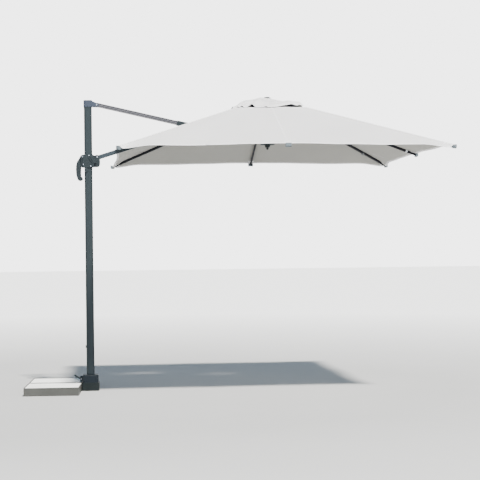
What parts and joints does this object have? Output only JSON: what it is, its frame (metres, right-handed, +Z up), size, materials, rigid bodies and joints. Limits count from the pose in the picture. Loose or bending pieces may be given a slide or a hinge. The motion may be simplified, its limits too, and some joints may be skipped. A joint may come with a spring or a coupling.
{
  "type": "cantilever parasol",
  "caption": "Square off-centre garden parasol on a side mast, with a folding boom and strut, vented canopy and a slab-weighted swivel base.",
  "frame": {"origin": "on the ground, on the mast's axis, at the underside of the base socket", "axes": "+X out along the boom to the canopy, +Z up the mast, +Y across the canopy"},
  "size_m": [3.8887, 3.0268, 2.838],
  "materials": {
    "mast_paint": "satin",
    "housing_plastic": "satin",
    "dark_plastic": "satin",
    "tray_steel": "satin",
    "slab_stone": "matte",
    "strut_aluminium": "satin",
    "rib_aluminium": "satin",
    "steel": "satin",
    "clip_plastic": "satin",
    "tip_plastic": "satin",
    "canopy_cloth": "matte"
  },
  "bodies": {
    "base": {"base_tray": "tray_steel", "slab_near": "slab_stone", "slab_far": "slab_stone", "base_socket": "housing_plastic", "swivel_spindle": "steel"},
    "turret": {"turntable_housing": "housing_plastic", "pedal_pin": "steel", "mast": "mast_paint", "mast_knob": "dark_plastic", "mast_cap": "mast_paint", "cap_pin": "steel"},
    "pedal": {"pedal": "dark_plastic"},
    "strut": {"strut_rail_near": "strut_aluminium", "strut_rail_far": "strut_aluminium", "strut_spacers": "strut_aluminium", "strut_cheek_near": "dark_plastic", "strut_cheek_far": "dark_plastic", "strut_pin": "steel"},
    "boom": {"boom_tube": "mast_paint", "boom_foot": "mast_paint", "boom_head": "mast_paint", "boom_saddle": "mast_paint"},
    "carriage": {"carriage_shell_near": "dark_plastic", "carriage_shell_far": "dark_plastic", "carriage_bolts": "steel", "carriage_tongue": "dark_plastic", "carriage_pin": "steel", "grip_pin": "steel"},
    "grip": {"grip": "dark_plastic"},
    "hub": {"hub_body": "dark_plastic", "hub_ring": "steel", "hub_pin": "steel", "finial": "dark_plastic", "canopy": "canopy_cloth", "vent_flap": "canopy_cloth"},
    "rib_right": {"rib_right": "rib_aluminium", "rib_tip_right": "tip_plastic", "rib_band": "strut_aluminium"},
    "stretcher_right": {"stretcher_right": "rib_aluminium"},
    "rib_far_right": {"rib_far_right": "rib_aluminium", "rib_tip_far_right": "tip_plastic", "rib_clip": "clip_plastic"},
    "stretcher_far_right": {"stretcher_far_right": "rib_aluminium"},
    "rib_far": {"rib_far": "rib_aluminium", "rib_tip_far": "tip_plastic"},
    "stretcher_far": {"stretcher_far": "rib_aluminium"},
    "rib_far_left": {"rib_far_left": "rib_aluminium", "rib_tip_far_left": "tip_plastic"},
    "stretcher_far_left": {"stretcher_far_left": "rib_aluminium"},
    "rib_near_left": {"rib_near_left": "rib_aluminium", "rib_tip_near_left": "tip_plastic"},
    "stretcher_near_left": {"stretcher_near_left": "rib_aluminium"},
    "rib_near": {"rib_near": "rib_aluminium", "rib_tip_near": "tip_plastic"},
    "stretcher_near": {"stretcher_near": "rib_aluminium"},
    "rib_near_right": {"rib_near_right": "rib_aluminium", "rib_tip_near_right": "tip_plastic"},
    "stretcher_near_right": {"stretcher_near_right": "rib_aluminium"},
    "runner": {"runner": "dark_plastic", "runner_pins": "steel"}
  },
  "joints": [
    {"name": "mast_swivel", "type": "hinge", "parent": "base", "child": "turret", "pos_m": [0, 0, 0.079], "axis": [0, 0, 1], "continuous": true},
    {"name": "pedal_press", "type": "hinge", "parent": "turret", "child": "pedal", "pos_m": [-0.092, 0, 0.112], "axis": [0, -1, 0], "range_deg": [0, 15], "stiffness_Nm_per_rad": 6, "springref_deg": -14.32},
    {"name": "fold", "type": "hinge", "parent": "turret", "child": "strut", "pos_m": [0.085, 0, 2.761], "axis": [0, 1, 0], "range_deg": [0, 64], "deforming": ["canopy", "vent_flap"]},
    {"name": "strut_to_boom", "type": "hinge", "parent": "strut", "child": "boom", "pos_m": [1.035, 0, 2.509], "axis": [0, -1, 0], "range_deg": [0, 128]},
    {"name": "boom_to_carriage", "type": "hinge", "parent": "boom", "child": "carriage", "pos_m": [0.085, 0, 2.257], "axis": [0, 1, 0], "range_deg": [0, 64]},
    {"name": "grip_squeeze", "type": "hinge", "parent": "carriage", "child": "grip", "pos_m": [-0.058, 0, 2.262], "axis": [0, -1, 0], "range_deg": [0, 3], "stiffness_Nm_per_rad": 6, "springref_deg": -20.05},
    {"name": "boom_to_hub", "type": "hinge", "parent": "boom", "child": "hub", "pos_m": [1.751, 0, 2.769], "axis": [0, 1, 0], "range_deg": [0, 64]},
    {"name": "rib_right_hinge", "type": "hinge", "parent": "hub", "child": "rib_right", "pos_m": [1.811, 0, 2.799], "axis": [0, 1, 0], "range_deg": [0, 62.15]},
    {"name": "stretcher_right_hinge", "type": "hinge", "parent": "rib_right", "child": "stretcher_right", "pos_m": [2.30877, 0, 2.589], "axis": [0, -1, 0], "range_deg": [0, 124.27]},
    {"name": "rib_far_right_hinge", "type": "hinge", "parent": "hub", "child": "rib_far_right", "pos_m": [1.79343, 0.04243, 2.799], "axis": [-0.7071, 0.7071, 0], "range_deg": [0, 67.43]},
    {"name": "stretcher_far_right_hinge", "type": "hinge", "parent": "rib_far_right", "child": "stretcher_far_right", "pos_m": [2.14359, 0.39259, 2.64203], "axis": [0.7071, -0.7071, 0], "range_deg": [0, 124.83]},
    {"name": "rib_far_hinge", "type": "hinge", "parent": "hub", "child": "rib_far", "pos_m": [1.751, 0.06, 2.799], "axis": [-1, 0, 0], "range_deg": [0, 62.15]},
    {"name": "stretcher_far_hinge", "type": "hinge", "parent": "rib_far", "child": "stretcher_far", "pos_m": [1.751, 0.55777, 2.589], "axis": [1, 0, 0], "range_deg": [0, 124.27]},
    {"name": "rib_far_left_hinge", "type": "hinge", "parent": "hub", "child": "rib_far_left", "pos_m": [1.70857, 0.04243, 2.799], "axis": [-0.7071, -0.7071, 0], "range_deg": [0, 67.43]},
    {"name": "stretcher_far_left_hinge", "type": "hinge", "parent": "rib_far_left", "child": "stretcher_far_left", "pos_m": [1.35841, 0.39259, 2.64203], "axis": [0.7071, 0.7071, 0], "range_deg": [0, 124.83]},
    {"name": "rib_near_left_hinge", "type": "hinge", "parent": "hub", "child": "rib_near_left", "pos_m": [1.70857, -0.04243, 2.799], "axis": [0.7071, -0.7071, 0], "range_deg": [0, 67.43]},
    {"name": "stretcher_near_left_hinge", "type": "hinge", "parent": "rib_near_left", "child": "stretcher_near_left", "pos_m": [1.35841, -0.39259, 2.64203], "axis": [-0.7071, 0.7071, 0], "range_deg": [0, 124.83]},
    {"name": "rib_near_hinge", "type": "hinge", "parent": "hub", "child": "rib_near", "pos_m": [1.751, -0.06, 2.799], "axis": [1, 0, 0], "range_deg": [0, 62.15]},
    {"name": "stretcher_near_hinge", "type": "hinge", "parent": "rib_near", "child": "stretcher_near", "pos_m": [1.751, -0.55777, 2.589], "axis": [-1, 0, 0], "range_deg": [0, 124.27]},
    {"name": "rib_near_right_hinge", "type": "hinge", "parent": "hub", "child": "rib_near_right", "pos_m": [1.79343, -0.04243, 2.799], "axis": [0.7071, 0.7071, 0], "range_deg": [0, 67.43]},
    {"name": "stretcher_near_right_hinge", "type": "hinge", "parent": "rib_near_right", "child": "stretcher_near_right", "pos_m": [2.14359, -0.39259, 2.64203], "axis": [-0.7071, -0.7071, 0], "range_deg": [0, 124.83]},
    {"name": "runner_hinge", "type": "hinge", "parent": "stretcher_right", "child": "runner", "pos_m": [1.811, 0, 2.379], "axis": [0, 1, 0], "range_deg": [0, 62.15]}
  ],
  "couplings": [
    {"joint": "strut_to_boom", "follows": "fold", "ratio": 2},
    {"joint": "boom_to_carriage", "follows": "fold", "ratio": 1},
    {"joint": "boom_to_hub", "follows": "fold", "ratio": 1},
    {"joint": "rib_right_hinge", "follows": "fold", "ratio": 0.97072},
    {"joint": "stretcher_right_hinge", "follows": "fold", "ratio": 1.9414},
    {"joint": "rib_far_right_hinge", "follows": "fold", "ratio": 1.0533},
    {"joint": "stretcher_far_right_hinge", "follows": "fold", "ratio": 1.9501},
    {"joint": "rib_far_hinge", "follows": "fold", "ratio": 0.97072},
    {"joint": "stretcher_far_hinge", "follows": "fold", "ratio": 1.9414},
    {"joint": "rib_far_left_hinge", "follows": "fold", "ratio": 1.0533},
    {"joint": "stretcher_far_left_hinge", "follows": "fold", "ratio": 1.9501},
    {"joint": "rib_near_left_hinge", "follows": "fold", "ratio": 1.0533},
    {"joint": "stretcher_near_left_hinge", "follows": "fold", "ratio": 1.9501},
    {"joint": "rib_near_hinge", "follows": "fold", "ratio": 0.97072},
    {"joint": "stretcher_near_hinge", "follows": "fold", "ratio": 1.9414},
    {"joint": "rib_near_right_hinge", "follows": "fold", "ratio": 1.0533},
    {"joint": "stretcher_near_right_hinge", "follows": "fold", "ratio": 1.9501},
    {"joint": "runner_hinge", "follows": "fold", "ratio": 0.97072}
  ]
}
